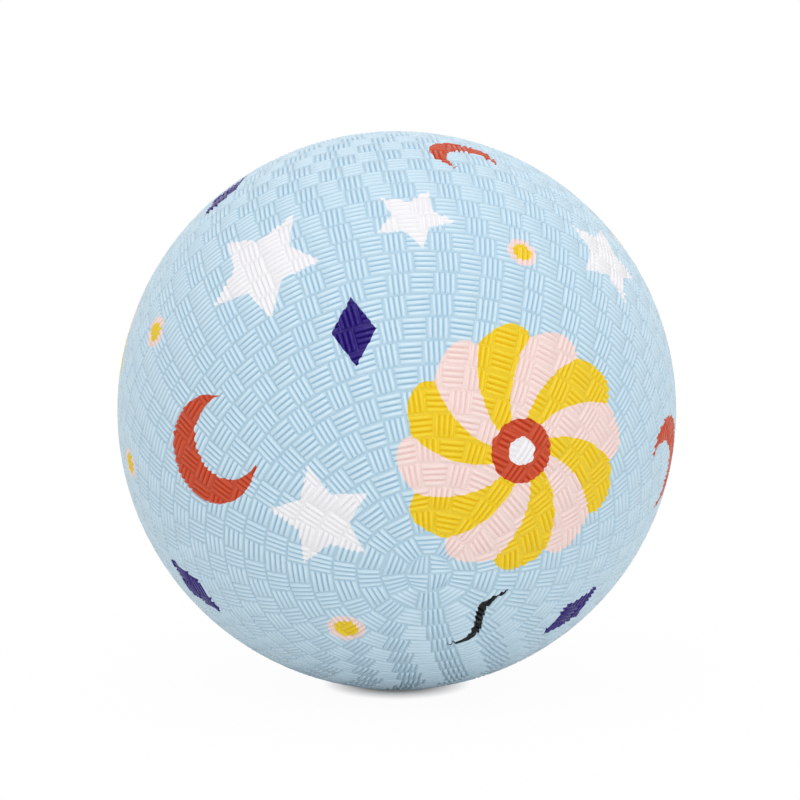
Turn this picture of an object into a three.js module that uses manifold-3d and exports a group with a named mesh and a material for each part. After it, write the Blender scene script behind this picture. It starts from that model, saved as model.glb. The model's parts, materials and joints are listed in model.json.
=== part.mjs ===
import * as THREE from "three";
import { mergeVertices } from "three/addons/utils/BufferGeometryUtils.js";
import Module from "manifold-3d";

// An inflated rubber playground ball: an outer cover, an inner bladder, a valve boot that seals the
// hole through both, and the soft plug in the boot that an inflating needle goes through.
// Millimetres, +Z up, -Y to the viewer, origin at the ball's centre. Every piece is turned about the
// valve axis, so a profile is a list of (distance from the valve axis, height along it) points.

// Ball
const BALL_R = 90; // over the tops of the grip
const COVER_WALL = 1.8; // under the tops of the grip
const BLADDER_WALL = 0.8;
const PLY_GAP = 0.3; // between layers that touch
const VALVE_TILT = 25; // degrees, rise of the valve axis above level at the back of the ball

// Grip: a basket weave of raised strands and dips, in rings about the valve axis. The mould's two
// halves, one at the valve and one at the front, meet in a groove at the parting line.
const GRIP_RINGS = 19; // from the pole of a half to the parting line
const GRIP_DEPTH = 0.8; // from the tops of the strands down to the floor
const PAIR_LENGTH = 14.1; // a strand and the dip next to it, along the ring
const DIP_LENGTH = 6.7; // between the ends of two strands
const GRIP_START = 0.25; // turns, bearing that the pairs are counted from
const RING_SHIFT = 0.38; // pairs that each ring is turned against the last
const PARTING_SHIFT = -0.18; // pairs that the front half is turned against the valve's half

// Rim that ends the grip at the valve, the smooth disc inside it, and the flat pad at the bore
const RIM_WIDTH = 0.8;
const RIM_SLOPE = 0.4; // run of the slope on each side of the rim
const DISC_WIDTH = 3.2;
const PAD_SLOPE = 0.6; // run of the slope up to the pad
const PAD_WIDTH = 2.2;
const MOUTH_CHAMFER = 0.5;

// Plug: a headed rubber pin with a channel for the needle and a slit that closes behind it
const HEAD_R = 4.4;
const HEAD_T = 1.1;
const HEAD_ROUND = 0.35;
const SHANK_R = 3;
const SHANK_LENGTH = 13;
const NOSE_LENGTH = 3.4;
const NOSE_TIP_R = 1;
const CHANNEL_R = 0.6;
const CHANNEL_END = 1.6; // rubber left between the channel's end and the start of the nose
const DIMPLE_R = 1.5;
const DIMPLE_DEPTH = 1.4;
const SLIT_LENGTH = 3.2;
const SLIT_GAP = 0.4;

// Boot: neck through both plies, flange under the bladder, barrel that holds the plug
const HEAD_DROP = 0.1; // head below the neck's end
const NECK_DROP = 0.3; // neck's end below the pad
const NECK_WALL = 1.3; // round the plug's head
const NECK_ROUND = 0.4;
const BARREL_WALL = 2.3; // round the plug's shank
const BARREL_ROUND = 1;
const BARREL_FILLET = 1.6;
const BARREL_FLOOR = 1.5;
const AIR_HOLE_R = 1.2;
const FLANGE_WIDTH = 11.7; // beyond the hole in the plies
const FLANGE_ROOT = 1.7;
const FLANGE_RIM = 0.6;

// Clearances
const NECK_CLEARANCE = 0.3;
const HEAD_CLEARANCE = 0.3;
const SHANK_CLEARANCE = 0.3;
const SEAT_CLEARANCE = 0.3;
const NOSE_ROOM = 0.8;

// Facets
const BALL_SEGMENTS = 36;
const PLUG_SEGMENTS = 32;
const PLY_STEPS = 15;
const FLANGE_STEPS = 3;
const ROUND_STEPS = 3;
const NOSE_STEPS = 5;

// Layers, from the outside in
const floorR = BALL_R - GRIP_DEPTH;
const coverInnerR = BALL_R - COVER_WALL;
const bladderOuterR = coverInnerR - PLY_GAP;
const bladderInnerR = bladderOuterR - BLADDER_WALL;
const flangeOuterR = bladderInnerR - PLY_GAP;

// Radii at the valve, from the plug outwards
const counterboreR = HEAD_R + HEAD_CLEARANCE;
const neckR = counterboreR + NECK_WALL;
const boreR = neckR + NECK_CLEARANCE;
const padInnerR = boreR + MOUTH_CHAMFER;
const padOuterR = padInnerR + PAD_WIDTH;
const padFootR = padOuterR + PAD_SLOPE;
const discR = padFootR + DISC_WIDTH;
const rimInnerR = discR + RIM_SLOPE;
const rimOuterR = rimInnerR + RIM_WIDTH;
const rimFootR = rimOuterR + RIM_SLOPE;
const pocketR = SHANK_R + SHANK_CLEARANCE;
const barrelR = pocketR + BARREL_WALL;
const flangeR = boreR + FLANGE_WIDTH;

// Heights along the valve axis, from the pad inwards
const padY = heightOn(BALL_R, padOuterR);
const neckTopY = padY - NECK_DROP;
const headTopY = neckTopY - HEAD_DROP;
const headBottomY = headTopY - HEAD_T;
const seatY = headBottomY - SEAT_CLEARANCE;
const shankEndY = headBottomY - SHANK_LENGTH;
const noseTipY = shankEndY - NOSE_LENGTH;
const channelEndY = shankEndY + CHANNEL_END;
const pocketFloorY = noseTipY - NOSE_ROOM;
const barrelEndY = pocketFloorY - BARREL_FLOOR;

// Angles from the valve axis, and the mould halves: which way a half lies, and its starting bearing
const flangeAngle = Math.asin(flangeR / flangeOuterR);
const ringStep = Math.PI / 2 / GRIP_RINGS;
const firstValveRing = Math.ceil(Math.asin(rimFootR / floorR) / ringStep) + 1;
const valveHalf = { side: 1, start: GRIP_START };
const frontHalf = { side: -1, start: GRIP_START + PARTING_SHIFT / pairsIn(GRIP_RINGS) };

const coverRubber = new THREE.MeshStandardMaterial({ color: "#bcd9ea", roughness: 0.5, metalness: 0 });
const butylRubber = new THREE.MeshStandardMaterial({ color: "#2b2b2c", roughness: 0.65, metalness: 0 });
const bootRubber = new THREE.MeshStandardMaterial({ color: "#3a3a3c", roughness: 0.6, metalness: 0 });
const plugRubber = new THREE.MeshStandardMaterial({ color: "#26262a", roughness: 0.45, metalness: 0 });

/** Height along the axis of the point on a sphere that lies at this distance from the axis. */
function heightOn(sphereR, distance) {
  return Math.sqrt(sphereR ** 2 - distance ** 2);
}

/** Points on a sphere's meridian between two angles from the valve axis. */
function meridian(sphereR, from, to, steps) {
  const points = [];
  for (let i = 0; i <= steps; i += 1) {
    const angle = from + ((to - from) * i) / steps;
    points.push(point(sphereR * Math.sin(angle), sphereR * Math.cos(angle)));
  }
  return points;
}

/** Points on a small arc about a centre, between two angles from the outward direction. */
function corner(centreR, centreY, radius, from, to) {
  const points = [];
  for (let i = 0; i <= ROUND_STEPS; i += 1) {
    const angle = THREE.MathUtils.degToRad(from + ((to - from) * i) / ROUND_STEPS);
    points.push(point(centreR + radius * Math.cos(angle), centreY + radius * Math.sin(angle)));
  }
  return points;
}

/** A profile point; one on the axis is put there exactly. */
function point(distance, height) {
  return new THREE.Vector2(Math.abs(distance) < 1e-9 ? 0 : distance, height);
}

function namedMesh(name, geometry, material) {
  const mesh = new THREE.Mesh(geometry, material);
  mesh.name = name;
  return mesh;
}

/** The inner face of a ply, from the hole round the neck to the far pole, with finer steps at the flange. */
function plyMeridian(sphereR) {
  const hole = Math.asin(boreR / sphereR);
  const near = meridian(sphereR, hole, flangeAngle, FLANGE_STEPS);
  const rest = meridian(sphereR, flangeAngle, Math.PI, PLY_STEPS);
  return [...near, ...rest.slice(1)];
}

/** A point of the cover's skin: its place, and its bearing about the valve axis in turns from 0 to 1. */
function skinPoint(distance, height, turn) {
  const place = new THREE.Vector3().setFromCylindricalCoords(distance, 2 * Math.PI * turn, height);
  return { place, turn: THREE.MathUtils.euclideanModulo(turn, 1) };
}

/** The circle of skin points that a profile point leaves when it is turned; one point on the axis. */
function turnedCircle({ x, y }) {
  const count = x === 0 ? 1 : BALL_SEGMENTS;
  return Array.from({ length: count }, (_, i) => skinPoint(x, y, i / count));
}

/** A skin point on a sphere, by its angle from the pole of a mould half and its bearing in that half. */
function gripPoint(half, sphereR, angle, turn) {
  const height = half.side * sphereR * Math.cos(angle);
  return skinPoint(sphereR * Math.sin(angle), height, half.start + half.side * turn);
}

/** How many pairs of a strand and a dip fit round the middle of a ring. */
function pairsIn(ring) {
  return Math.round((2 * Math.PI * floorR * Math.sin((ring - 0.5) * ringStep)) / PAIR_LENGTH);
}

/** The middle of a ring: each strand is level between its ends, and dips to the floor separate them. */
function strandCircle(half, ring) {
  const angle = (ring - 0.5) * ringStep;
  const pairs = pairsIn(ring);
  const halfDip = DIP_LENGTH / 2 / (2 * Math.PI * BALL_R * Math.sin(angle));
  const points = [];
  for (let i = 0; i < pairs; i += 1) {
    const dip = (i + RING_SHIFT * ring) / pairs;
    points.push(gripPoint(half, floorR, angle, dip));
    points.push(gripPoint(half, BALL_R, angle, dip + halfDip));
    points.push(gripPoint(half, BALL_R, angle, dip + 1 / pairs - halfDip));
  }
  return points;
}

/** The groove along the edge of a ring that is nearer the pole, with a point at each of its dips. */
function grooveCircle(half, ring) {
  const pairs = pairsIn(ring);
  const dips = Array.from({ length: pairs }, (_, i) => (i + RING_SHIFT * ring) / pairs);
  return dips.map((dip) => gripPoint(half, floorR, (ring - 1) * ringStep, dip));
}

/** How far two skin points are apart. */
function span(one, other) {
  return one.place.distanceTo(other.place);
}

/** A circle in order of bearing, from the point that is nearest to a given one. */
function startingAt(circle, nearby) {
  const ordered = circle.toSorted((a, b) => a.turn - b.turn);
  const spans = ordered.map((each) => span(each, nearby));
  const first = spans.indexOf(Math.min(...spans));
  return [...ordered.slice(first), ...ordered.slice(0, first)];
}

/** Triangles between two circles: step by step, the one with the shorter way across moves on. */
function stitch(lower, upper) {
  const triangles = [];
  let i = 0;
  let j = 0;
  while (i < lower.length || j < upper.length) {
    const [here, ahead] = [lower[i % lower.length], lower[(i + 1) % lower.length]];
    const [across, aheadAcross] = [upper[j % upper.length], upper[(j + 1) % upper.length]];
    const lowerShorter = span(ahead, across) < span(here, aheadAcross);
    const lowerMoves = j === upper.length || (i < lower.length && lowerShorter);
    const next = lowerMoves ? ahead : aheadAcross;
    if (next !== here && next !== across) {
      triangles.push(here.number, next.number, across.number);
    }
    i += lowerMoves ? 1 : 0;
    j += lowerMoves ? 0 : 1;
  }
  return triangles;
}

/** A closed skin over circles of points, from one pole to the other, with each stitched to the next. */
function skinOver(circles) {
  const points = circles.flat();
  points.forEach((each, number) => Object.assign(each, { number }));
  const triangles = [];
  let lower = circles[0];
  for (const circle of circles.slice(1)) {
    const upper = startingAt(circle, lower[0]);
    triangles.push(...stitch(lower, upper));
    lower = upper;
  }
  const geometry = new THREE.BufferGeometry().setFromPoints(points.map((each) => each.place));
  geometry.setIndex(triangles);
  geometry.computeVertexNormals();
  return geometry;
}

/** Outer ply: a shell with the woven grip, and a rim, a sunk disc, a flat pad and a hole at the valve. */
function makeCover() {
  const grip = [turnedCircle(point(0, -floorR))];
  for (let ring = 1; ring <= GRIP_RINGS; ring += 1) {
    grip.push(strandCircle(frontHalf, ring), grooveCircle(frontHalf, ring + 1));
  }
  for (let ring = GRIP_RINGS; ring > firstValveRing; ring -= 1) {
    grip.push(strandCircle(valveHalf, ring), grooveCircle(valveHalf, ring));
  }
  grip.push(strandCircle(valveHalf, firstValveRing));
  const mouth = [
    point(rimFootR, heightOn(floorR, rimFootR)),
    point(rimOuterR, heightOn(BALL_R, rimOuterR)),
    point(rimInnerR, heightOn(BALL_R, rimInnerR)),
    point(discR, heightOn(floorR, discR)),
    point(padFootR, heightOn(floorR, padFootR)),
    point(padOuterR, padY),
    point(padInnerR, padY),
    point(boreR, padY - MOUTH_CHAMFER),
    ...plyMeridian(coverInnerR),
  ];
  return namedMesh("cover", skinOver([...grip, ...mouth.map(turnedCircle)]), coverRubber);
}

/** Inner ply: a thin shell with a hole for the neck. */
function makeBladder() {
  const profile = [...plyMeridian(bladderOuterR).reverse(), ...plyMeridian(bladderInnerR)];
  return namedMesh("bladder", new THREE.LatheGeometry(profile, BALL_SEGMENTS), butylRubber);
}

/** Valve boot: one ring-shaped profile that closes on itself, since air passes right through it. */
function makeValveBoot() {
  const neckAngle = Math.asin(neckR / flangeOuterR);
  const underRimR = flangeOuterR - FLANGE_RIM;
  const rootR = flangeOuterR - FLANGE_ROOT;
  const filletR = barrelR + BARREL_FILLET;
  const rootY = heightOn(rootR, filletR);
  const outline = [
    point(AIR_HOLE_R, barrelEndY),
    ...corner(barrelR - BARREL_ROUND, barrelEndY + BARREL_ROUND, BARREL_ROUND, -90, 0),
    ...corner(filletR, rootY - BARREL_FILLET, BARREL_FILLET, 180, 90),
    point(underRimR * Math.sin(flangeAngle), underRimR * Math.cos(flangeAngle)),
    ...meridian(flangeOuterR, flangeAngle, neckAngle, FLANGE_STEPS),
    ...corner(neckR - NECK_ROUND, neckTopY - NECK_ROUND, NECK_ROUND, 0, 90),
    point(counterboreR, neckTopY),
    point(counterboreR, seatY),
    point(pocketR, seatY),
    point(pocketR, pocketFloorY),
    point(AIR_HOLE_R, pocketFloorY),
  ];
  const profile = [...outline, outline[0].clone()];
  return namedMesh("valve_boot", new THREE.LatheGeometry(profile, BALL_SEGMENTS), bootRubber);
}

/** Plug before its slit is cut: head, shank and rounded nose, with the needle's dimple and channel. */
function plugBlank() {
  const nose = [point(0, noseTipY)];
  for (let i = 0; i <= NOSE_STEPS; i += 1) {
    const turn = ((Math.PI / 2) * i) / NOSE_STEPS;
    const flare = NOSE_TIP_R + (SHANK_R - NOSE_TIP_R) * Math.sin(turn);
    nose.push(point(flare, shankEndY - NOSE_LENGTH * Math.cos(turn)));
  }
  const profile = [
    ...nose,
    point(SHANK_R, headBottomY),
    point(HEAD_R, headBottomY),
    ...corner(HEAD_R - HEAD_ROUND, headTopY - HEAD_ROUND, HEAD_ROUND, 0, 90),
    point(DIMPLE_R, headTopY),
    point(CHANNEL_R, headTopY - DIMPLE_DEPTH),
    point(CHANNEL_R, channelEndY),
    point(0, channelEndY),
  ];
  return new THREE.LatheGeometry(profile, PLUG_SEGMENTS);
}

/** The slit's cutter, from below the nose up into the needle channel. */
function slitCutter() {
  const overrun = CHANNEL_R;
  const top = channelEndY + overrun;
  const bottom = noseTipY - overrun;
  const cutter = new THREE.BoxGeometry(SLIT_LENGTH, top - bottom, SLIT_GAP);
  cutter.translate(0, (top + bottom) / 2, 0);
  return cutter;
}

/** A closed solid of a geometry, with shared corners merged and flat triangles at the poles left out. */
function toSolid(wasm, geometry) {
  geometry.deleteAttribute("normal");
  geometry.deleteAttribute("uv");
  const merged = mergeVertices(geometry);
  const triVerts = [];
  for (let i = 0; i < merged.index.count; i += 3) {
    const [a, b, c] = merged.index.array.slice(i, i + 3);
    if (a !== b && b !== c && c !== a) {
      triVerts.push(a, b, c);
    }
  }
  const vertProperties = merged.attributes.position.array;
  return new wasm.Manifold(
    new wasm.Mesh({ numProp: 3, vertProperties, triVerts: new Uint32Array(triVerts) }),
  );
}

/** Needle plug: the blank with the slit cut through its nose. */
async function makeValvePlug() {
  const wasm = await Module();
  wasm.setup();
  const cut = toSolid(wasm, plugBlank()).subtract(toSolid(wasm, slitCutter())).getMesh();
  const geometry = new THREE.BufferGeometry();
  geometry.setAttribute("position", new THREE.BufferAttribute(cut.vertProperties, 3));
  geometry.setIndex(new THREE.BufferAttribute(cut.triVerts, 1));
  geometry.computeVertexNormals();
  return namedMesh("valve_plug", geometry, plugRubber);
}

const ball = new THREE.Group();
ball.rotation.x = THREE.MathUtils.degToRad(VALVE_TILT);
ball.add(makeCover(), makeBladder(), makeValveBoot(), await makeValvePlug());

export default ball;
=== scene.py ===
# %% [markdown]
# # A moulded rubber playground ball
# The CAD model gives the construction: an outer cover, an inner bladder, a valve boot and a needle
# plug, all turned about one valve axis. Here the cover gets its basket-weave grip and its print, and
# the plug its soft rubber shape. Everything is in metres, in the CAD model's own frame.

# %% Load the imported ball
import json
import math
import random

import bmesh
import bpy
import numpy as np
from mathutils import Matrix, Vector


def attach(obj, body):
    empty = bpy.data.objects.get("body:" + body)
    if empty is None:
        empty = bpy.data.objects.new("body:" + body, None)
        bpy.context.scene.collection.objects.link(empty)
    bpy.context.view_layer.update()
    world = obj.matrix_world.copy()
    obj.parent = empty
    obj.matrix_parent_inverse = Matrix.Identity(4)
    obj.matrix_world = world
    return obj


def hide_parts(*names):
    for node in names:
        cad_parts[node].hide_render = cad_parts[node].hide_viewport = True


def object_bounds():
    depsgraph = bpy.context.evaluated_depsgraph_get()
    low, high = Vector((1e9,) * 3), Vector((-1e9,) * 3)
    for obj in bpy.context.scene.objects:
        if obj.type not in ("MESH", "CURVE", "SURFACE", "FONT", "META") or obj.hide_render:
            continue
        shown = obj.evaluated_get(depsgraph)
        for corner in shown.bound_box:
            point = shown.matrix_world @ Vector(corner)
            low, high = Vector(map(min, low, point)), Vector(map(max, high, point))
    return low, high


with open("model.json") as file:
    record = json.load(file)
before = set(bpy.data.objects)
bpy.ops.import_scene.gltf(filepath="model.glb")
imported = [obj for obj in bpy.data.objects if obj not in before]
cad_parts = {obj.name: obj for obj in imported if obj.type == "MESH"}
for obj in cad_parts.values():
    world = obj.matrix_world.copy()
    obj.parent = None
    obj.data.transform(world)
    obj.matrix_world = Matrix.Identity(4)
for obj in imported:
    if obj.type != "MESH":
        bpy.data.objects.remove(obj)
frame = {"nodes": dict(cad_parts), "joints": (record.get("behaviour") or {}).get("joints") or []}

MM = 0.001
cad_low, cad_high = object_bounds()
BALL_R = min(*cad_high, *-cad_low)
VALVE_AXIS = Vector(frame["joints"][0]["axis"]).normalized()
TURN_TO_VALVE = Vector((0, 0, 1)).rotation_difference(VALVE_AXIS)
print(f"ball radius {BALL_R / MM:.2f} mm, valve axis {VALVE_AXIS[:]}")

# %% [markdown]
# ## The camera
# The photograph was taken from nearly level, a little above the ball's middle. The camera stands far
# back with a long lens, so that the ball's outline is almost half of its surface. The aim is set a
# little off the ball's centre, because the ball sits slightly low and left in the picture.

# %% Camera
CAMERA_AZIMUTH = math.radians(-6.9)
CAMERA_ELEVATION = math.radians(8.7)
CAMERA_DISTANCE = 1.2
PICTURE_SIDE = 800
BALL_CENTRE_PX = (396.8, 410.4)
BALL_RADIUS_PX = 279.5
SENSOR_WIDTH = 36
CLIP_END = 50

limb_slope = math.tan(math.asin(BALL_R / CAMERA_DISTANCE))
slope_per_px = limb_slope / BALL_RADIUS_PX
toward_camera = Vector((
    math.sin(CAMERA_AZIMUTH) * math.cos(CAMERA_ELEVATION),
    -math.cos(CAMERA_AZIMUTH) * math.cos(CAMERA_ELEVATION),
    math.sin(CAMERA_ELEVATION),
))
camera_right = Vector((math.cos(CAMERA_AZIMUTH), math.sin(CAMERA_AZIMUTH), 0))
camera_up = toward_camera.cross(camera_right)
off_centre_px = [PICTURE_SIDE / 2 - BALL_CENTRE_PX[0], BALL_CENTRE_PX[1] - PICTURE_SIDE / 2]
aim = CAMERA_DISTANCE * slope_per_px * (off_centre_px[0] * camera_right + off_centre_px[1] * camera_up)

bpy.ops.object.camera_add(location=CAMERA_DISTANCE * toward_camera)
camera = bpy.context.object
camera.rotation_euler = (aim - camera.location).to_track_quat("-Z", "Y").to_euler()
camera.data.sensor_width = SENSOR_WIDTH
camera.data.lens = SENSOR_WIDTH / (PICTURE_SIDE * slope_per_px)
camera.data.clip_end = CLIP_END
bpy.context.scene.camera = camera
print(f"camera lens {camera.data.lens:.0f} mm at {CAMERA_DISTANCE} m")

# %% [markdown]
# ## The weave's layout
# The mould has two halves, and in each half square blocks of four ribs lie in 19 rings about the pole.
# Lying blocks, whose ribs run round the ring, take turns with upright blocks, whose ribs run to the
# pole. One ring is an open cone with two sides for each pair of blocks: that gives flat blocks with
# straight sides, as a hand-cut mould has. Each ring holds the number of pairs that fits best, and is
# shifted a little against the ring before it.

# %% Weave sizes
WEAVE_RINGS = 19
PAIR_LENGTH = 14.1 * MM
UPRIGHT_WIDTH = 6.7 * MM
RELIEF = 0.8 * MM
RING_GAP = 0.1 * MM
RIBS_PER_BLOCK = 4
RING_SHIFT = 0.38
FLOOR_R = BALL_R - RELIEF
RING_STEP = math.radians(90) / WEAVE_RINGS
FLOOR, LYING, UPRIGHT = range(3)


def block_kinds(shell):
    """The layer that says of each face whether it is floor, a lying block or an upright one."""
    return shell.faces.layers.int.get("block_kind") or shell.faces.layers.int.new("block_kind")


def ring_edges(ring):
    """Angles from the pole of a ring's near and far edge, with half a gap left at each."""
    half_gap = RING_GAP / FLOOR_R / 2
    return (ring - 1) * RING_STEP + half_gap, ring * RING_STEP - half_gap


def middle_distance(ring):
    """How far the middle of a ring is from the axis."""
    return FLOOR_R * math.sin((ring - 0.5) * RING_STEP)


def pairs_in(ring):
    """How many whole pairs of blocks fit best round the middle of a ring."""
    return round(math.tau * middle_distance(ring) / PAIR_LENGTH)


print("pairs of blocks in each ring:", [pairs_in(ring) for ring in range(2, WEAVE_RINGS + 1)])


# %% One ring of blocks
def edit_new(name):
    """A new, empty mesh object, alone in the selection and in edit mode."""
    bpy.ops.object.select_all(action="DESELECT")
    piece = bpy.data.objects.new(name, bpy.data.meshes.new(name))
    bpy.context.collection.objects.link(piece)
    bpy.context.view_layer.objects.active = piece
    piece.select_set(True)
    bpy.ops.object.mode_set(mode="EDIT")
    return piece


def add_ring(piece, ring):
    """Adds a ring of blocks about +Z. An upright block fans out a little, a lying one takes the rest."""
    near, far = ring_edges(ring)
    pairs = pairs_in(ring)
    bpy.ops.mesh.select_all(action="DESELECT")
    bpy.ops.mesh.primitive_cone_add(
        vertices=2 * pairs,
        radius1=FLOOR_R * math.sin(far),
        radius2=FLOOR_R * math.sin(near),
        depth=FLOOR_R * (math.cos(near) - math.cos(far)),
        end_fill_type="NOTHING",
        location=(0, 0, FLOOR_R * (math.cos(near) + math.cos(far)) / 2),
    )
    shell = bmesh.from_edit_mesh(piece.data)
    kinds = block_kinds(shell)
    corners = [v for v in shell.verts if v.select]
    block_turn = math.pi / pairs
    first = math.atan2(corners[0].co.y, corners[0].co.x)
    column = {}
    for corner in corners:
        turned = math.atan2(corner.co.y, corner.co.x) - first
        column[corner] = round(turned / block_turn) % (2 * pairs)
        distance = math.hypot(corner.co.x, corner.co.y)
        upright = 2 * (column[corner] // 2 + RING_SHIFT * ring)
        side = 1 if column[corner] % 2 else -1
        fan = UPRIGHT_WIDTH / 2 / math.sqrt(distance * middle_distance(ring))
        angle = upright * block_turn + side * fan
        corner.co.x = distance * math.cos(angle)
        corner.co.y = distance * math.sin(angle)
    for block in (f for f in shell.faces if f.select):
        uprights = {column[corner] // 2 for corner in block.verts}
        block[kinds] = UPRIGHT if len(uprights) == 1 else LYING
    bmesh.update_edit_mesh(piece.data)


# %% [markdown]
# Neighbouring rings have different counts, so their points don't meet. A zip closes each gap: it walks
# round both circles at once and always steps to the point that comes next.

# %% Zip two circles of points together
SAME_HEIGHT = 1e-6


def circle_at(shell, height):
    """The points on an open edge at this height on the axis, in order round it."""
    found = [v for v in shell.verts if v.is_boundary and abs(v.co.z - height) < SAME_HEIGHT]
    return sorted(found, key=lambda v: math.atan2(v.co.y, v.co.x))


def zip_circles(shell, one, other):
    """Fills the gap between two circles of points with triangles."""
    def angle(circle, step):
        vertex = circle[step % len(circle)]
        return math.atan2(vertex.co.y, vertex.co.x) + math.tau * (step // len(circle))

    i = j = 0
    while i < len(one) or j < len(other):
        step_one = j >= len(other) or (i < len(one) and angle(one, i + 1) < angle(other, j + 1))
        here, there = one[i % len(one)], other[j % len(other)]
        if step_one:
            i += 1
        else:
            j += 1
        ahead = one[i % len(one)] if step_one else other[j % len(other)]
        shell.faces.new((here, there, ahead))


def zip_rings(piece, ring):
    """Closes the gap between a ring and the next one away from the pole."""
    shell = bmesh.from_edit_mesh(piece.data)
    far_edge = FLOOR_R * math.cos(ring_edges(ring)[1])
    near_edge = FLOOR_R * math.cos(ring_edges(ring + 1)[0])
    zip_circles(shell, circle_at(shell, far_edge), circle_at(shell, near_edge))
    bmesh.update_edit_mesh(piece.data)


# %% [markdown]
# ## Two mould halves
# One half is laid out once, from the third ring to the parting line, and copied for the other half.
# The copy at the front gets the two rings that close its pole; the half at the back keeps its pole
# open for the valve.

# %% Lay out one half and copy it
FIRST_SHARED_RING = 3
PARTING_SHIFT = -0.18
valve_half = edit_new("moulded_cover")
for ring in range(FIRST_SHARED_RING, WEAVE_RINGS + 1):
    add_ring(valve_half, ring)
for ring in range(FIRST_SHARED_RING, WEAVE_RINGS):
    zip_rings(valve_half, ring)
bpy.ops.object.mode_set(mode="OBJECT")
bpy.ops.object.duplicate()
front_half = bpy.context.object
bpy.ops.object.mode_set(mode="EDIT")
for ring in range(2, FIRST_SHARED_RING):
    add_ring(front_half, ring)
    zip_rings(front_half, ring)
print(f"one half has {len(valve_half.data.polygons)} faces before its ribs")

# %% The pole's four blocks
cap_angle = ring_edges(1)[1]
cap_r = FLOOR_R * math.sin(cap_angle)
bpy.ops.mesh.select_all(action="DESELECT")
bpy.ops.mesh.primitive_grid_add(
    x_subdivisions=2, y_subdivisions=2, size=2 * cap_r, location=(0, 0, FLOOR_R * math.cos(cap_angle))
)
shell = bmesh.from_edit_mesh(front_half.data)
kinds = block_kinds(shell)
for corner in (v for v in shell.verts if v.select):
    flat = Vector((corner.co.x, corner.co.y))
    if flat.length > cap_r / 2:
        corner.co.x, corner.co.y = cap_r * flat.normalized()
    else:
        corner.co.z = FLOOR_R
for block in (f for f in shell.faces if f.select):
    middle = block.calc_center_median()
    block[kinds] = LYING if middle.x * middle.y > 0 else UPRIGHT
bmesh.update_edit_mesh(front_half.data)
zip_rings(front_half, 1)
bpy.ops.object.mode_set(mode="OBJECT")
print(f"the front half has {len(front_half.data.polygons)} faces")

# %% Turn the copy to the front and join the halves
front_half.rotation_euler = (math.pi, 0, PARTING_SHIFT * math.tau / pairs_in(WEAVE_RINGS))
bpy.ops.object.transform_apply(location=False, rotation=True, scale=False)
valve_half.select_set(True)
bpy.context.view_layer.objects.active = valve_half
bpy.ops.object.join()
cover = valve_half
bpy.ops.object.mode_set(mode="EDIT")
shell = bmesh.from_edit_mesh(cover.data)
parting_height = FLOOR_R * math.cos(ring_edges(WEAVE_RINGS)[1])
zip_circles(shell, circle_at(shell, parting_height), circle_at(shell, -parting_height))
bmesh.update_edit_mesh(cover.data)
bpy.ops.mesh.select_all(action="SELECT")
bpy.ops.mesh.normals_make_consistent(inside=False)
print(f"the joined layout has {len(shell.faces)} faces")

# %% [markdown]
# ## Ribs
# Every block is inset a little, turned by a degree or two as hand-cut blocks are, and cut into four
# strips. Each strip is inset twice. All points still lie flat, so the three nested outlines of a rib
# are told apart by vertex groups, and three Cast modifiers then lift them to their own radius: the
# floor of the weave, the ribs' shoulders and the ribs' crests. That gives a rounded rib of nine faces.

# %% Pick out blocks, and the way an edge runs
LEVEL_SLOPE = 0.01


def select_blocks(piece):
    """Selects every face that isn't floor."""
    bpy.ops.mesh.select_mode(type="FACE")
    shell = bmesh.from_edit_mesh(piece.data)
    kinds = block_kinds(shell)
    for face in shell.faces:
        face.select_set(face[kinds] != FLOOR)
    bmesh.update_edit_mesh(piece.data)


def runs_round(edge):
    """True if an edge runs round the ring, or along X on the pole's own blocks."""
    along = edge.verts[1].co - edge.verts[0].co
    if max(math.hypot(v.co.x, v.co.y) for v in edge.verts) <= cap_r:
        return abs(along.x) > abs(along.y)
    return abs(along.z) < LEVEL_SLOPE * along.length


# %% Inset the blocks and turn each a little, as hand-cut blocks sit
BLOCK_MARGIN = 0.12 * MM
HAND_TURN = math.radians(1.9)
HAND_SEED = 19

hand = random.Random(HAND_SEED)
select_blocks(cover)
bpy.ops.mesh.inset(thickness=BLOCK_MARGIN, use_individual=True)
shell = bmesh.from_edit_mesh(cover.data)
kinds = block_kinds(shell)
cuts = set()
for face in shell.faces:
    if not face.select:
        face[kinds] = FLOOR
    elif face[kinds] == LYING:
        cuts.update(e for e in face.edges if not runs_round(e))
    else:
        cuts.update(e for e in face.edges if runs_round(e))
for block in (f for f in shell.faces if f.select):
    middle = block.calc_center_median()
    turn = Matrix.Rotation(hand.uniform(-HAND_TURN, HAND_TURN), 3, block.normal)
    for corner in block.verts:
        corner.co = middle + turn @ (corner.co - middle)
print(f"{len(cuts)} edges to cut")

# %% Cut the blocks into strips
bpy.ops.mesh.select_mode(type="EDGE")
bpy.ops.mesh.select_all(action="DESELECT")
for edge in cuts:
    edge.select_set(True)
bmesh.update_edit_mesh(cover.data)
bpy.ops.mesh.subdivide(number_cuts=RIBS_PER_BLOCK - 1, quadcorner="STRAIGHT_CUT", ngon=True)
select_blocks(cover)
shell = bmesh.from_edit_mesh(cover.data)
narrowest = min(e.calc_length() for f in shell.faces if f.select for e in f.edges)
print(f"{cover.data.total_face_sel} strips, the narrowest {narrowest / MM:.2f} mm wide")

# %% Shape the strips into rounded ribs
RIB_SIDE = 0.33 * MM
RIB_CROWN = 0.25 * MM
SHOULDER_SHARE = 0.6

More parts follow.
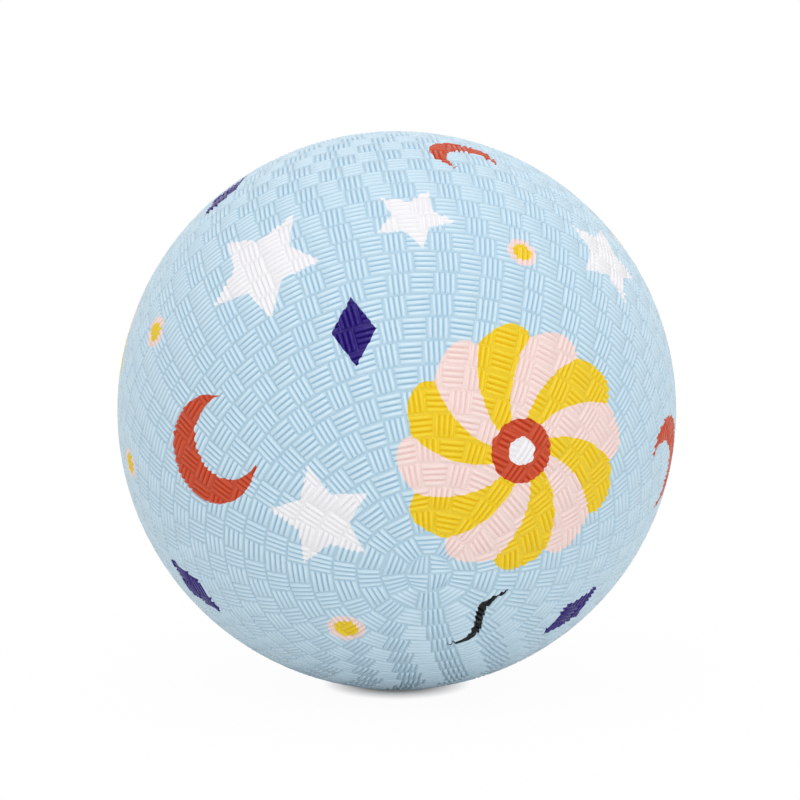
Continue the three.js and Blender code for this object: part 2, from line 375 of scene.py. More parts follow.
for outline, thickness in (("shoulder", RIB_SIDE), ("crest", RIB_CROWN)):
    bpy.ops.mesh.inset(thickness=thickness, use_individual=True)
    cover.vertex_groups.active = cover.vertex_groups.new(name=outline)
    bpy.ops.object.vertex_group_assign()
bpy.ops.object.mode_set(mode="OBJECT")
for outline, radius in (
    ("", FLOOR_R),
    ("shoulder", FLOOR_R + SHOULDER_SHARE * RELIEF),
    ("crest", BALL_R),
):
    cast = cover.modifiers.new("cast", "CAST")
    cast.factor = 1
    cast.use_radius_as_size = False
    cast.size = radius
    cast.vertex_group = outline
    bpy.ops.object.modifier_apply(modifier=cast.name)
cover.vertex_groups.clear()
print(f"the grip has {len(cover.data.polygons)} faces")

# %% [markdown]
# ## The valve's surround and the inside of the cover
# At the back, the weave stops at a low rim round a smooth disc, with a flat pad at the valve's mouth.
# From there the surface goes down the bore and round the inside, so that the cover is one closed skin
# with a real wall. All of it is turned work: a circle that is extruded from one profile point to the
# next. The sizes come from the CAD cover's own points.

# %% Sizes of the valve's mouth
def in_valve_frame(node):
    """A CAD node's points as (distance from the valve axis, height along it)."""
    back = TURN_TO_VALVE.inverted()
    turned = [back @ v.co for v in frame["nodes"][node].data.vertices]
    return [(p.xy.length, p.z) for p in turned]


SAME_RING = 0.05 * MM
weave_angle = ring_edges(FIRST_SHARED_RING)[0]
cover_points = in_valve_frame("cover")
inner_r = min(math.hypot(*point) for point in cover_points)


def round_the_valve(point):
    """True for a point on the outside between the weave and the bore."""
    distance, height = point
    inside_weave = distance < FLOOR_R * math.sin(weave_angle)
    return height > 0 and inside_weave and math.hypot(distance, height) > inner_r + SAME_RING


round_valve = sorted(filter(round_the_valve, cover_points), reverse=True)
mouth = [p for p, last in zip(round_valve, [(0, 0), *round_valve]) if math.dist(p, last) > SAME_RING]
bore_r = mouth[-1][0]
print("rim, disc, pad and bore in mm:", [(round(d / MM, 2), round(h / MM, 2)) for d, h in mouth])


# %% Turn a profile, as on a lathe
def turn_profile(profile, segments):
    """Adds a circle and extrudes it through the profile's (distance, height) points."""
    (distance, height), *rest = profile
    bpy.ops.mesh.select_mode(type="EDGE")
    bpy.ops.mesh.select_all(action="DESELECT")
    bpy.ops.mesh.primitive_circle_add(vertices=segments, radius=distance, location=(0, 0, height))
    for next_distance, next_height in rest:
        widen = next_distance / distance
        bpy.ops.mesh.extrude_edges_indiv()
        bpy.ops.transform.resize(value=(widen, widen, 1), center_override=(0, 0, 0))
        bpy.ops.transform.translate(value=(0, 0, next_height - height))
        distance, height = next_distance, next_height


# %% Rim, pad, bore and inner wall
TURN_SEGMENTS = 72
INNER_STEPS = 24

bore_angle = math.asin(bore_r / inner_r)
inner_angles = [
    bore_angle + (math.pi - bore_angle) * step / INNER_STEPS for step in range(INNER_STEPS)
]
inner_wall = [(inner_r * math.sin(angle), inner_r * math.cos(angle)) for angle in inner_angles]
bpy.ops.object.mode_set(mode="EDIT")
turn_profile(mouth + inner_wall, TURN_SEGMENTS)
bpy.ops.mesh.edge_face_add()
shell = bmesh.from_edit_mesh(cover.data)
zip_circles(shell, circle_at(shell, FLOOR_R * math.cos(weave_angle)), circle_at(shell, mouth[0][1]))
bmesh.update_edit_mesh(cover.data)
bpy.ops.mesh.select_all(action="SELECT")
bpy.ops.mesh.normals_make_consistent(inside=False)
bpy.ops.object.mode_set(mode="OBJECT")
skin = bmesh.new()
skin.from_mesh(cover.data)
print("open edges in the cover:", sum(not e.is_manifold for e in skin.edges))
skin.free()

# %% Put the cover in its place
SMOOTH_ANGLE = math.radians(60)


def finish_piece(piece, body, node):
    """Turns a piece to the valve axis, smooths it, and lets it stand for its CAD node."""
    bpy.ops.object.select_all(action="DESELECT")
    piece.select_set(True)
    bpy.context.view_layer.objects.active = piece
    piece.rotation_euler = TURN_TO_VALVE.to_euler()
    bpy.ops.object.transform_apply(location=True, rotation=True, scale=True)
    bpy.ops.object.shade_smooth_by_angle(angle=SMOOTH_ANGLE)
    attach(piece, body)
    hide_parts(node)
    piece.data.calc_loop_triangles()
    print(f"{piece.name}: {len(piece.data.loop_triangles)} triangles")


finish_piece(cover, "ball", "cover")

# %% [markdown]
# ## A flat map of the cover
# A baked texture needs the cover laid flat. Cut rib by rib it would fall into thousands of scraps, so it
# is peeled like a globe instead: a disc for the front half and one for the back, each true to angle and
# bearing from its pole, and two small discs for the inside.

# %% Lay the cover flat in four discs
DISC_R = 0.28
DISC_CORNER = 0.293
SMALL_DISC_R = 0.12
SMALL_DISC_CORNER = 0.14
TINY = 1e-9


def flat_about(middle, right, up, directions):
    """Lays directions flat round a middle one, true to the angle and the bearing from it."""
    angle = np.arccos(np.clip(directions @ middle, -1, 1))
    across, along = directions @ right, directions @ up
    spread = angle / np.maximum(np.hypot(across, along), TINY)
    return np.stack([across * spread, along * spread], axis=1)


points = np.array([v.co for v in cover.data.vertices])
corner_vertex = np.array([corner.vertex_index for corner in cover.data.loops])
face_middle = np.array([face.center for face in cover.data.polygons])
corner_face = np.repeat(np.arange(len(face_middle)), [f.loop_total for f in cover.data.polygons])
corner_direction = (points / np.linalg.norm(points, axis=1, keepdims=True))[corner_vertex]

to_valve = np.array(VALVE_AXIS)
level = np.array((1, 0, 0))
outside = np.linalg.norm(face_middle, axis=1) > (inner_r + FLOOR_R) / 2
at_back = face_middle @ to_valve > 0
flat_map = np.zeros((len(corner_vertex), 2))
low, small_low = DISC_CORNER, SMALL_DISC_CORNER
for half, pole, disc_middle, disc_r in (
    (outside & ~at_back, -to_valve, (low, low), DISC_R),
    (outside & at_back, to_valve, (1 - low, 1 - low), DISC_R),
    (~outside & ~at_back, -to_valve, (1 - small_low, small_low), SMALL_DISC_R),
    (~outside & at_back, to_valve, (small_low, 1 - small_low), SMALL_DISC_R),
):
    corners = half[corner_face]
    flat = flat_about(pole, level, np.cross(pole, level), corner_direction[corners])
    flat_map[corners] = disc_middle + disc_r * flat / math.radians(90)
cover.data.uv_layers.new(name="OFBake").data.foreach_set("uv", flat_map.ravel())
print(f"{outside.sum()} faces outside, {(~outside).sum()} inside")

# %% [markdown]
# ## Colours and nodes
# Colours are written as the eye meets them, as sRGB hex values, and one function makes them linear for
# the shader. One more function adds a node and wires it up, so a finish reads as a list of nodes.

# %% Helpers for the finishes
def linear(hex_colour):
    """An sRGB hex colour as linear RGBA."""
    channels = [int(hex_colour[start : start + 2], 16) / 255 for start in (1, 3, 5)]
    return (*(c / 12.92 if c <= 0.04045 else ((c + 0.055) / 1.055) ** 2.4 for c in channels), 1)


def new_material(name):
    """A material with an empty node tree."""
    material = bpy.data.materials.new(name)
    material.use_nodes = True
    material.node_tree.nodes.clear()
    return material


def add_node(tree, kind, inputs, **settings):
    """Adds a node with its settings; an input is a plain value or the output that it is linked to."""
    node = tree.nodes.new("ShaderNode" + kind)
    for name, value in settings.items():
        setattr(node, name, value)
    for name, value in inputs.items():
        if isinstance(value, bpy.types.NodeSocket):
            tree.links.new(value, node.inputs[name])
        else:
            node.inputs[name].default_value = value
    return node


# %% [markdown]
# ## The print
# The ball is printed with simple motifs in a few opaque inks. Each motif is a formula of the place
# inside it, written for a motif of radius 1: its distance from the middle, its bearing, and its two
# coordinates. So its edge stays sharp however coarse the mesh is.

# %% Inks and motifs
INKS = {
    "white": "#f1f0f3",
    "yellow": "#efd02a",
    "pink": "#f3dcd8",
    "orange": "#cc4f2e",
    "indigo": "#2d1a7a",
    "black": "#0d0e11",
}


def rosette(tree, place):
    """Twelve swirling petals in two inks round a ringed middle."""
    petal_pairs = 6
    twist, rim, lobe_depth = 0.8, 0.88, 0.1
    middle_r, dot_r = 0.25, 0.11
    swirl = add_node(
        tree, "Math", {0: place["far"], 1: twist, 2: place["bearing"]}, operation="MULTIPLY_ADD"
    )
    phase = add_node(tree, "Math", {0: swirl.outputs[0], 1: petal_pairs}, operation="MULTIPLY")
    wave = add_node(tree, "Math", {0: phase.outputs[0]}, operation="SINE")
    lobe = add_node(tree, "Math", {0: wave.outputs[0]}, operation="ABSOLUTE")
    edge = add_node(tree, "Math", {0: lobe.outputs[0], 1: lobe_depth, 2: rim}, operation="MULTIPLY_ADD")
    inside = add_node(tree, "Math", {0: place["far"], 1: edge.outputs[0]}, operation="LESS_THAN")
    other = add_node(tree, "Math", {0: wave.outputs[0], 1: 0}, operation="GREATER_THAN")
    petal = add_node(tree, "Math", {0: other.outputs[0], 1: inside.outputs[0]}, operation="MULTIPLY")
    middle = add_node(tree, "Math", {0: place["far"], 1: middle_r}, operation="LESS_THAN")
    dot = add_node(tree, "Math", {0: place["far"], 1: dot_r}, operation="LESS_THAN")
    return [("pink", inside), ("yellow", petal), ("orange", middle), ("white", dot)]


def star(tree, place):
    """Five points with straight sides: the bearing is folded to half a point, then cut by one line."""
    half_point = math.radians(36)
    side_lean = math.radians(63)
    fold = add_node(tree, "Math", {0: place["bearing"], 1: half_point}, operation="PINGPONG")
    lean = add_node(tree, "Math", {0: fold.outputs[0], 1: side_lean}, operation="SUBTRACT")
    toward_side = add_node(tree, "Math", {0: lean.outputs[0]}, operation="COSINE")
    reach = add_node(tree, "Math", {0: place["far"], 1: toward_side.outputs[0]}, operation="MULTIPLY")
    inside = add_node(tree, "Math", {0: reach.outputs[0], 1: math.cos(side_lean)}, operation="LESS_THAN")
    return [("white", inside)]


def crescent(tree, place):
    """A disc with a smaller disc taken out of its side."""
    bite_middle = (0.42, 0.12, 0)
    bite_r = 0.76
    disc = add_node(tree, "Math", {0: place["far"], 1: 1}, operation="LESS_THAN")
    bite = add_node(tree, "VectorMath", {0: place["spot"], 1: bite_middle}, operation="DISTANCE")
    left = add_node(tree, "Math", {0: bite.outputs["Value"], 1: bite_r}, operation="GREATER_THAN")
    inside = add_node(tree, "Math", {0: disc.outputs[0], 1: left.outputs[0]}, operation="MULTIPLY")
    return [("orange", inside)]


def diamond(tree, place):
    """A tall diamond."""
    slender = 1.6
    across = add_node(tree, "Math", {0: place["x"]}, operation="ABSOLUTE")
    along = add_node(tree, "Math", {0: place["y"]}, operation="ABSOLUTE")
    reach = add_node(
        tree, "Math", {0: across.outputs[0], 1: slender, 2: along.outputs[0]}, operation="MULTIPLY_ADD"
    )
    inside = add_node(tree, "Math", {0: reach.outputs[0], 1: 1}, operation="LESS_THAN")
    return [("indigo", inside)]


def wave_stroke(tree, place):
    """A wavy brush stroke that thins out to its ends."""
    wave_rate, wave_height, half_width = 3.6, 0.2, 0.11
    phase = add_node(tree, "Math", {0: place["x"], 1: wave_rate}, operation="MULTIPLY")
    swing = add_node(tree, "Math", {0: phase.outputs[0]}, operation="SINE")
    line = add_node(
        tree, "Math", {0: swing.outputs[0], 1: -wave_height, 2: place["y"]}, operation="MULTIPLY_ADD"
    )
    off_line = add_node(tree, "Math", {0: line.outputs[0]}, operation="ABSOLUTE")
    square = add_node(tree, "Math", {0: place["x"], 1: place["x"]}, operation="MULTIPLY")
    width = add_node(
        tree, "Math", {0: square.outputs[0], 1: -half_width, 2: half_width}, operation="MULTIPLY_ADD"
    )
    inside = add_node(tree, "Math", {0: off_line.outputs[0], 1: width.outputs[0]}, operation="LESS_THAN")
    return [("black", inside)]


def ringed_dot(tree, place):
    """A dot with a paler ring."""
    dot_r = 0.62
    disc = add_node(tree, "Math", {0: place["far"], 1: 1}, operation="LESS_THAN")
    middle = add_node(tree, "Math", {0: place["far"], 1: dot_r}, operation="LESS_THAN")
    return [("pink", disc), ("yellow", middle)]


MOTIFS = [rosette, star, crescent, diamond, wave_stroke, ringed_dot]
print(f"{len(MOTIFS)} motifs in {len(INKS)} inks")

# %% [markdown]
# The motifs are scattered over the whole ball, clear of each other and of the valve. A row gives the
# motif, its azimuth and elevation on the ball in degrees, its radius in millimetres and its turn in
# degrees. Three attributes then carry the layout to the shader: which motif a face belongs to, that
# motif's radius, and each corner's place inside the motif.

# %% Scatter the motifs
PRINT = (
    (rosette, 18, 0, 40, 0),
    (star, -42, 37, 20, 12),
    (star, -2, 50, 13, -8),
    (star, -22, -13, 17, 30),
    (star, 58, 36, 16, 40),
    (crescent, -46, -1, 17, 20),
    (diamond, -16, 24, 11, 8),
    (wave_stroke, 14, -38, 15, 62),
    (diamond, 46, -40, 12, -30),
    (crescent, 66, -8, 15, 200),
    (ringed_dot, 27, 40, 5, 0),
    (ringed_dot, -70, 20, 5, 0),
    (ringed_dot, -20, -40, 6, 0),
    (diamond, -66, -34, 12, 35),
    (rosette, -112, 14, 34, 20),
    (rosette, 136, -28, 36, 40),
    (star, 100, 14, 18, 15),
    (star, -155, -6, 17, 50),
    (star, -95, -48, 15, 0),
    (star, 118, 60, 15, 25),
    (crescent, -146, 40, 15, 120),
    (crescent, 84, -44, 15, 60),
    (diamond, -174, -26, 11, 20),
    (diamond, 130, 24, 11, -10),
    (diamond, -88, 52, 11, 30),
    (wave_stroke, 152, 8, 13, 60),
    (wave_stroke, -132, -34, 13, -40),
    (crescent, 36, 70, 11, 250),
    (star, -150, 74, 14, 5),
    (star, 96, -72, 13, 10),
    (ringed_dot, 84, 38, 5, 0),
    (ringed_dot, 178, 58, 6, 0),
    (ringed_dot, 176, 0, 5, 0),
    (ringed_dot, -160, -58, 6, 0),
    (ringed_dot, 110, -8, 5, 0),
    (ringed_dot, -78, -8, 5, 0),
    (crescent, 160, -66, 14, 80),
)
PRINT_MARGIN = 2


def motif_axes(azimuth, elevation, turn):
    """The direction of a motif's middle, and the two that its coordinates run along."""
    azimuth, elevation, turn = (math.radians(angle) for angle in (azimuth, elevation, turn))
    middle = np.array((
        math.sin(azimuth) * math.cos(elevation),
        -math.cos(azimuth) * math.cos(elevation),
        math.sin(elevation),
    ))
    level = np.array((math.cos(azimuth), math.sin(azimuth), 0))
    right = math.cos(turn) * level + math.sin(turn) * np.cross(middle, level)
    return middle, right, np.cross(middle, right)


face_direction = face_middle / np.linalg.norm(face_middle, axis=1, keepdims=True)
face_motif = np.zeros(len(face_middle))
face_radius = np.ones(len(face_middle))
corner_place = np.zeros((len(corner_vertex), 3))
for motif, azimuth, elevation, radius, turn in PRINT:
    middle, right, up = motif_axes(azimuth, elevation, turn)
    reach = (radius + PRINT_MARGIN) * MM / BALL_R
    near = outside & (face_direction @ middle > math.cos(reach))
    face_motif[near] = MOTIFS.index(motif) + 1
    face_radius[near] = radius
    corners = near[corner_face]
    corner_place[corners, :2] = BALL_R / MM * flat_about(middle, right, up, corner_direction[corners])
for name, kind, domain, field, values in (
    ("print_motif", "FLOAT", "FACE", "value", face_motif),
    ("print_radius", "FLOAT", "FACE", "value", face_radius),
    ("print_place", "FLOAT_VECTOR", "CORNER", "vector", corner_place),
):
    cover.data.attributes.new(name, kind, domain).data.foreach_set(field, values.ravel())
print(f"{len(PRINT)} motifs, on {(face_motif > 0).sum()} faces")

# %% [markdown]
# ## Printed rubber
# The cover is natural rubber, vulcanised in a polished steel mould: satin, a little uneven in gloss,
# with a fine grain. Its pale blue is painted darker towards the floors of the grooves: painted shade.
# The ink is sprayed through masks, so it covers ribs and grooves, and its edge is a little unsteady.

# %% The bare rubber's colour, with painted groove shade
# The groove colour is painted shade, blended in from the weave's floor up part of the ribs' height.
RUBBER_CREST = "#cbe2ef"
RUBBER_GROOVE_SHADE = "#b4d1e2"
RUBBER_MOTTLE = "#c7dfee"
GROOVE_SHADE_SHARE = 0.8
MOTTLE_SIZE = 14 * MM
MOTTLE_RANGE = (0.4, 0.75)


def mottle_noise(tree, here):
    """Broad cloudy patches, which the colour and the gloss share."""
    noise = add_node(tree, "TexNoise", {"Vector": here, "Scale": 1 / MOTTLE_SIZE, "Detail": 3})
    return noise.outputs[0]


def rubber_colour(tree, here, mottle):
    """Pale blue, a little uneven on the crests, with painted shade darkening it towards the groove
    floors.
    """
    from_centre = add_node(tree, "VectorMath", {0: here}, operation="LENGTH").outputs["Value"]
    # Painted shade: the colour darkens from the crests down to the groove floor.
    height = add_node(
        tree, "MapRange",
        {"Value": from_centre, "From Min": FLOOR_R, "From Max": FLOOR_R + GROOVE_SHADE_SHARE * RELIEF},
    )
    patch = add_node(
        tree, "MapRange", {"Value": mottle, "From Min": MOTTLE_RANGE[0], "From Max": MOTTLE_RANGE[1]}
    )
    crest = add_node(
        tree, "Mix",
        {0: patch.outputs[0], 6: linear(RUBBER_CREST), 7: linear(RUBBER_MOTTLE)},
        data_type="RGBA",
    )
    colour = add_node(
        tree, "Mix",
        {0: height.outputs[0], 6: linear(RUBBER_GROOVE_SHADE), 7: crest.outputs[2]},
        data_type="RGBA",
    )
    return colour.outputs[2]


# %% Where a point lies in its motif
EDGE_WOBBLE = 0.5
WOBBLE_SIZE = 2.5 * MM


def place_in_motif(tree, here):
    """The point's place in a motif of radius 1, moved a little so that the ink's edge is unsteady."""
    place = add_node(tree, "Attribute", {}, attribute_name="print_place").outputs["Vector"]
    radius = add_node(tree, "Attribute", {}, attribute_name="print_radius").outputs["Fac"]
    unsteady = add_node(tree, "TexNoise", {"Vector": here, "Scale": 1 / WOBBLE_SIZE, "Detail": 1})
    centred = add_node(
        tree, "VectorMath", {0: unsteady.outputs["Color"], 1: (0.5, 0.5, 0.5)}, operation="SUBTRACT"
    )
    wobbled = add_node(
        tree, "VectorMath",
        {0: centred.outputs[0], 1: (EDGE_WOBBLE * 2, EDGE_WOBBLE * 2, 0), 2: place},
        operation="MULTIPLY_ADD",
    )
    shrink = add_node(tree, "Math", {0: 1, 1: radius}, operation="DIVIDE")
    scaled = add_node(
        tree, "VectorMath", {0: wobbled.outputs[0], "Scale": shrink.outputs[0]}, operation="SCALE"
    )
    spot = scaled.outputs[0]
    axes = add_node(tree, "SeparateXYZ", {0: spot})
    x, y = axes.outputs["X"], axes.outputs["Y"]
    far = add_node(tree, "VectorMath", {0: spot}, operation="LENGTH").outputs["Value"]
    bearing = add_node(tree, "Math", {0: y, 1: x}, operation="ARCTAN2").outputs[0]
    return {"spot": spot, "x": x, "y": y, "far": far, "bearing": bearing}


# %% Inks over the rubber
def lay_inks(tree, here, colour):
    """Lays each motif's inks over the colour, and says where there is ink."""
    number = add_node(tree, "Attribute", {}, attribute_name="print_motif").outputs["Fac"]
    place = place_in_motif(tree, here)
    inked = 0
    for index, motif in enumerate(MOTIFS):
        own = add_node(tree, "Math", {0: number, 1: index + 1, 2: 0.5}, operation="COMPARE")
        for ink, inside in motif(tree, place):
            both = {0: own.outputs[0], 1: inside.outputs[0]}
            shown = add_node(tree, "Math", both, operation="MULTIPLY").outputs[0]
            layers = {0: shown, 6: colour, 7: linear(INKS[ink])}
            colour = add_node(tree, "Mix", layers, data_type="RGBA").outputs[2]
            inked = add_node(tree, "Math", {0: inked, 1: shown}, operation="MAXIMUM").outputs[0]
    return colour, inked


# %% Printed rubber for the cover
RUBBER_IOR = 1.52
RUBBER_SHEEN = 0.6
INK_SHEEN = 0.25
RUBBER_ROUGHNESS = (0.26, 0.34)
GLOSS_RANGE = (0.3, 0.7)
INK_SMOOTHING = 0.03
GRAIN_SIZE = 0.35 * MM
GRAIN_DEPTH = 0.1 * MM
GRAIN_STRENGTH = 0.15


def printed_rubber():
    """Satin pale-blue rubber with opaque inks on it, which shine less than the rubber does."""
    material = new_material("vulcanised_rubber_printed")
    tree = material.node_tree
    here = add_node(tree, "TexCoord", {}).outputs["Object"]
    mottle = mottle_noise(tree, here)
    colour, inked = lay_inks(tree, here, rubber_colour(tree, here, mottle))
    gloss = add_node(
        tree, "MapRange",
        {
            "Value": mottle,
            "From Min": GLOSS_RANGE[0],
            "From Max": GLOSS_RANGE[1],
            "To Min": RUBBER_ROUGHNESS[0],
            "To Max": RUBBER_ROUGHNESS[1],
        },
    )
    roughness = add_node(
        tree, "Math", {0: inked, 1: -INK_SMOOTHING, 2: gloss.outputs[0]}, operation="MULTIPLY_ADD"
    )
    sheen = add_node(
        tree, "Math", {0: inked, 1: INK_SHEEN - RUBBER_SHEEN, 2: RUBBER_SHEEN}, operation="MULTIPLY_ADD"
    )
    grain = add_node(tree, "TexNoise", {"Vector": here, "Scale": 1 / GRAIN_SIZE, "Detail": 2})
    bump = add_node(
        tree, "Bump", {"Height": grain.outputs[0], "Strength": GRAIN_STRENGTH, "Distance": GRAIN_DEPTH}
    )
    surface = add_node(
        tree, "BsdfPrincipled",
        {
            "Base Color": colour,
            "Roughness": roughness.outputs[0],
            "IOR": RUBBER_IOR,
            "Specular IOR Level": sheen.outputs[0],
            "Normal": bump.outputs[0],
        },
    )
    add_node(tree, "OutputMaterial", {"Surface": surface.outputs[0]})
    return material


cover.data.materials.append(printed_rubber())
print("the cover's finish has", len(cover.data.materials[0].node_tree.nodes), "nodes")

# %% [markdown]
# ## The needle plug
# The plug is a soft rubber pin: a button head with a dimple that leads the needle in, a shank, and a
# round nose with a slit that closes behind the needle. It is turned on the same helper as the valve's
# mouth, with more points on its roundings than the CAD solid has, and the slit is cut by a boolean.

# %% Sizes of the plug
WIDEST = 0.99

plug_points = in_valve_frame("valve_plug")
plug_top = max(height for distance, height in plug_points)
nose_tip = min(height for distance, height in plug_points)
head_r = max(distance for distance, height in plug_points)
head_under = min(height for distance, height in plug_points if distance > WIDEST * head_r)
shank_points = [point for point in plug_points if point[1] < head_under - MM]
shank_r = max(distance for distance, height in shank_points)
nose_start = min(height for distance, height in shank_points if distance > WIDEST * shank_r)
print(f"plug head {2 * head_r / MM:.1f} mm across, {(plug_top - nose_tip) / MM:.1f} mm long")

# %% Turn the plug
PLUG_SEGMENTS = 64
CHANNEL_R = 0.6 * MM
CHANNEL_END = 1.6 * MM
CHANNEL_FLOOR = nose_start + CHANNEL_END
DIMPLE_R = 1.5 * MM
DIMPLE_DEPTH = 1.4 * MM
HEAD_ROUND = 0.35 * MM
HEAD_FILLET = 0.3 * MM
NOSE_TIP_R = 0.6 * MM
ROUND_STEPS = 6


def quarter(centre, size, start):
    """A quarter ellipse of profile points, clockwise from an angle in degrees."""
    angles = [math.radians(start - 90 * step / ROUND_STEPS) for step in range(ROUND_STEPS + 1)]
    return [(centre[0] + size[0] * math.cos(a), centre[1] + size[1] * math.sin(a)) for a in angles]


nose_size = (shank_r - NOSE_TIP_R, nose_start - nose_tip)
plug_profile = [
    (CHANNEL_R, CHANNEL_FLOOR),
    *quarter((DIMPLE_R, plug_top - DIMPLE_DEPTH), (DIMPLE_R - CHANNEL_R, DIMPLE_DEPTH), 180),
    *quarter((head_r - HEAD_ROUND, plug_top - HEAD_ROUND), (HEAD_ROUND, HEAD_ROUND), 90),
    (head_r, head_under),
    (shank_r + HEAD_FILLET, head_under),
    (shank_r, head_under - HEAD_FILLET),
    *quarter((NOSE_TIP_R, nose_start), nose_size, 0),
]
plug = edit_new("needle_plug")
turn_profile(plug_profile, PLUG_SEGMENTS)
for end in (CHANNEL_FLOOR, nose_tip):
    bpy.ops.mesh.select_all(action="DESELECT")
    shell = bmesh.from_edit_mesh(plug.data)
    for edge in shell.edges:
        edge.select_set(edge.is_boundary and all(abs(v.co.z - end) < SAME_HEIGHT for v in edge.verts))
    bmesh.update_edit_mesh(plug.data)
    bpy.ops.mesh.edge_face_add()
bpy.ops.mesh.select_all(action="SELECT")
bpy.ops.mesh.normals_make_consistent(inside=False)
bpy.ops.object.mode_set(mode="OBJECT")
print(f"the plug's profile has {len(plug_profile)} points")

# %% Cut the slit
SLIT_LENGTH = 3.2 * MM
SLIT_GAP = 0.4 * MM
slit_top = CHANNEL_FLOOR + CHANNEL_R
slit_bottom = nose_tip - CHANNEL_R
bpy.ops.object.select_all(action="DESELECT")
bpy.ops.mesh.primitive_cube_add(size=1, location=(0, 0, (slit_top + slit_bottom) / 2))
cutter = bpy.context.object
cutter.scale = (SLIT_LENGTH, SLIT_GAP, slit_top - slit_bottom)
bpy.ops.object.transform_apply(location=True, rotation=True, scale=True)
bpy.context.view_layer.objects.active = plug
slit = plug.modifiers.new("slit", "BOOLEAN")
slit.object = cutter
bpy.ops.object.modifier_apply(modifier=slit.name)
bpy.data.objects.remove(cutter)
finish_piece(plug, "plug", "valve_plug")

# %% [markdown]
# ## Dark rubbers
# Three more rubbers stay at the back or inside. Butyl is smooth and nearly black, and keeps the air in.
# The boot is a matt filled rubber, and the plug a softer, slicker one. They share one recipe: a dark
# colour with a pale bloom in patches, an uneven gloss and a fine moulded grain.

# %% Finishes of the bladder, boot and plug
CLOUD_SIZE = 6 * MM
BLOOM_RANGE = (0.45, 0.8)
GLOSS_SPREAD = 0.08
DARK_GRAIN_DEPTH = 0.05 * MM
DARK_GRAIN_STRENGTH = 0.3


def dark_rubber(name, colour, bloom, roughness, grain_size):
    """Moulded dark rubber, with a faint pale bloom where it has aged."""
    material = new_material(name)
    tree = material.node_tree
    here = add_node(tree, "TexCoord", {}).outputs["Object"]
    noise = add_node(tree, "TexNoise", {"Vector": here, "Scale": 1 / CLOUD_SIZE, "Detail": 3})
    cloud = noise.outputs[0]
    aged = add_node(
        tree, "MapRange", {"Value": cloud, "From Min": BLOOM_RANGE[0], "From Max": BLOOM_RANGE[1]}
    )
    shade = add_node(
        tree, "Mix", {0: aged.outputs[0], 6: linear(colour), 7: linear(bloom)}, data_type="RGBA"
    )
    gloss = add_node(
        tree, "MapRange",
        {"Value": cloud, "To Min": roughness - GLOSS_SPREAD, "To Max": roughness + GLOSS_SPREAD},
    )
    grain = add_node(tree, "TexNoise", {"Vector": here, "Scale": 1 / grain_size, "Detail": 2})
    bump = add_node(
        tree, "Bump",
        {"Height": grain.outputs[0], "Strength": DARK_GRAIN_STRENGTH, "Distance": DARK_GRAIN_DEPTH},
    )
    surface = add_node(
        tree, "BsdfPrincipled",
        {"Base Color": shade.outputs[2], "Roughness": gloss.outputs[0], "Normal": bump.outputs[0]},
    )
    add_node(tree, "OutputMaterial", {"Surface": surface.outputs[0]})
    return material


finishes = {
    "bladder": dark_rubber("butyl_rubber", "#29292b", "#3a3a3c", 0.6, 0.4 * MM),
    "valve_boot": dark_rubber("moulded_boot_rubber", "#38383a", "#4a4a4c", 0.62, 0.3 * MM),
}
for node, finish in finishes.items():
    frame["nodes"][node].data.materials.clear()
    frame["nodes"][node].data.materials.append(finish)
plug.data.materials.append(dark_rubber("soft_plug_rubber", "#222226", "#2e2e33", 0.42, 0.25 * MM))
print("dark rubbers on", [*finishes, plug.name])

# %% [markdown]
# ## Studio
# A wide soft light hangs over the ball, a smaller one shines down from the left of the camera, and a big
# weak one fills from the front, as in a product shot. The world is plain white to the camera and in
# gloss, and a little dimmer as a light.

# %% Lights
def soft_light(name, location, side, power):
    """A square area light that faces the ball."""
    bpy.ops.object.light_add(type="AREA", location=location)
    light = bpy.context.object
    light.name = name
    light.rotation_euler = (-Vector(location)).to_track_quat("-Z", "Y").to_euler()
    light.data.size = side
    light.data.energy = power
    print(f"{name}: {side} m, {power} W")


soft_light("overhead", (0, 0, 1.2), 1.3, 3.6)
soft_light("key", (-0.3, -0.8, 0.9), 0.35, 1.6)
soft_light("fill", (0.3, -1.9, 0.05), 1.4, 12)


# %% White world
WHITE = (1, 1, 1, 1)
WORLD_STRENGTH = 0.71


def ray_kinds(tree):
    """Two switches: one for rays straight to the camera, one for those that gloss or glass sends on."""
    path = add_node(tree, "LightPath", {}).outputs
    both = {0: path["Is Glossy Ray"], 1: path["Is Transmission Ray"]}
    return path["Is Camera Ray"], add_node(tree, "Math", both, operation="MAXIMUM").outputs[0]


world = bpy.data.worlds.new("studio")
world.use_nodes = True
world.node_tree.nodes.clear()
bpy.context.scene.world = world
tree = world.node_tree
lit = add_node(tree, "Background", {"Color": WHITE, "Strength": WORLD_STRENGTH})
white = add_node(tree, "Background", {"Color": WHITE, "Strength": 1})
straight, sent_on = ray_kinds(tree)
either = add_node(tree, "Math", {0: straight, 1: sent_on}, operation="MAXIMUM")
sky = add_node(tree, "MixShader", {0: either.outputs[0], 1: lit.outputs[0], 2: white.outputs[0]})
add_node(tree, "OutputWorld", {"Surface": sky.outputs[0]})
print("the world gives light of strength", WORLD_STRENGTH)

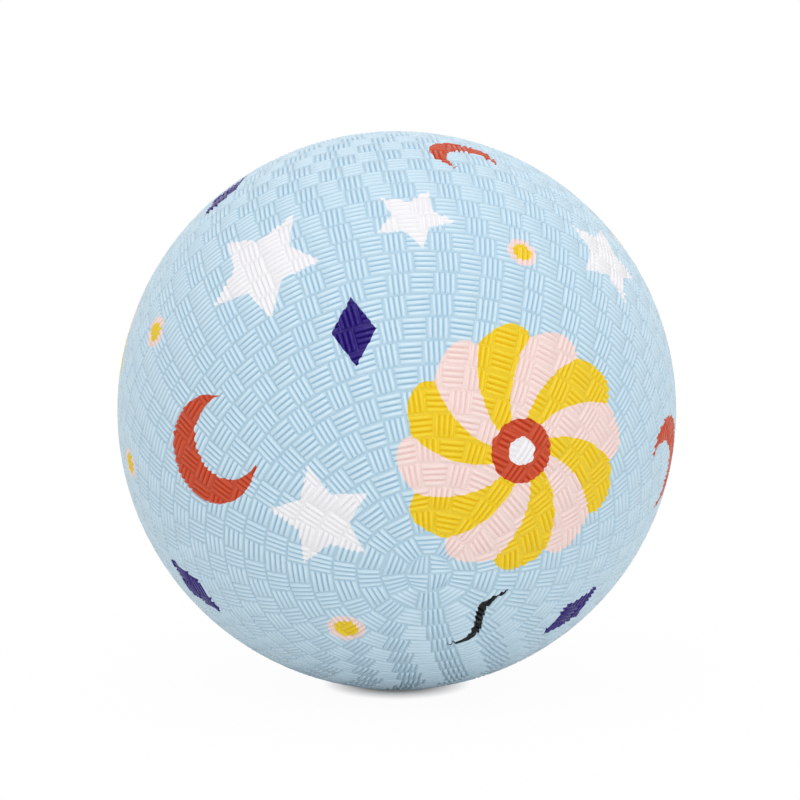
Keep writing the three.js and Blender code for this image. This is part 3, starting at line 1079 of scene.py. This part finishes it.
# %% [markdown]
# The floor is matt white paper that looks plain white to the camera, except for the ball's shadow: a
# tight dark one at the contact and a faint wide one. The ball's own gloss sees the paper as it is lit
# near the contact, so that its underside doesn't shine. Each shadow is given as the distance to which it
# is full, the distance at which it is gone, both in metres, and the share of it that is kept.

# %% White floor that keeps the shadow
FLOOR_SIDE = 30
PAPER = "#f4f4f2"
CONTACT_SHADOW = (0.012, 0.024, 0.9)
WIDE_SHADOW = (0.024, 0.25, 0.04)
MIRRORED_SHADOW = (0.05, 0.15, 1)


def floor_share(tree, rays, shadows):
    """How far the floor looks plain white to these rays: less where a shadow is kept near the ball."""
    here = add_node(tree, "TexCoord", {}).outputs["Object"]
    away = add_node(tree, "VectorMath", {0: here}, operation="LENGTH").outputs["Value"]
    for near, far, kept in shadows:
        reach = {"Value": away, "From Min": near, "From Max": far, "To Min": 1 - kept, "To Max": 1}
        fade = add_node(tree, "MapRange", reach)
        rays = add_node(tree, "Math", {0: rays, 1: fade.outputs[0]}, operation="MULTIPLY").outputs[0]
    return rays


bpy.ops.object.select_all(action="DESELECT")
bpy.ops.mesh.primitive_plane_add(size=FLOOR_SIDE, location=(0, 0, cad_low.z))
floor = bpy.context.object
floor.name = "floor"
paper = new_material("white_paper_floor")
tree = paper.node_tree
matt = add_node(tree, "BsdfDiffuse", {"Color": linear(PAPER)})
glow = add_node(tree, "Emission", {"Color": WHITE, "Strength": 1})
straight, sent_on = ray_kinds(tree)
seen = floor_share(tree, straight, (CONTACT_SHADOW, WIDE_SHADOW))
mirrored = floor_share(tree, sent_on, (MIRRORED_SHADOW,))
plain = add_node(tree, "Math", {0: seen, 1: mirrored}, operation="ADD")
surface = add_node(tree, "MixShader", {0: plain.outputs[0], 1: matt.outputs[0], 2: glow.outputs[0]})
add_node(tree, "OutputMaterial", {"Surface": surface.outputs[0]})
floor.data.materials.append(paper)
bpy.context.scene.view_settings.view_transform = "Standard"
print("floor at", round(cad_low.z / MM, 2), "mm")

# %% [markdown]
# ## Finish
# The view layer is brought up to date at the end.

# %% Finish
bpy.context.view_layer.update()
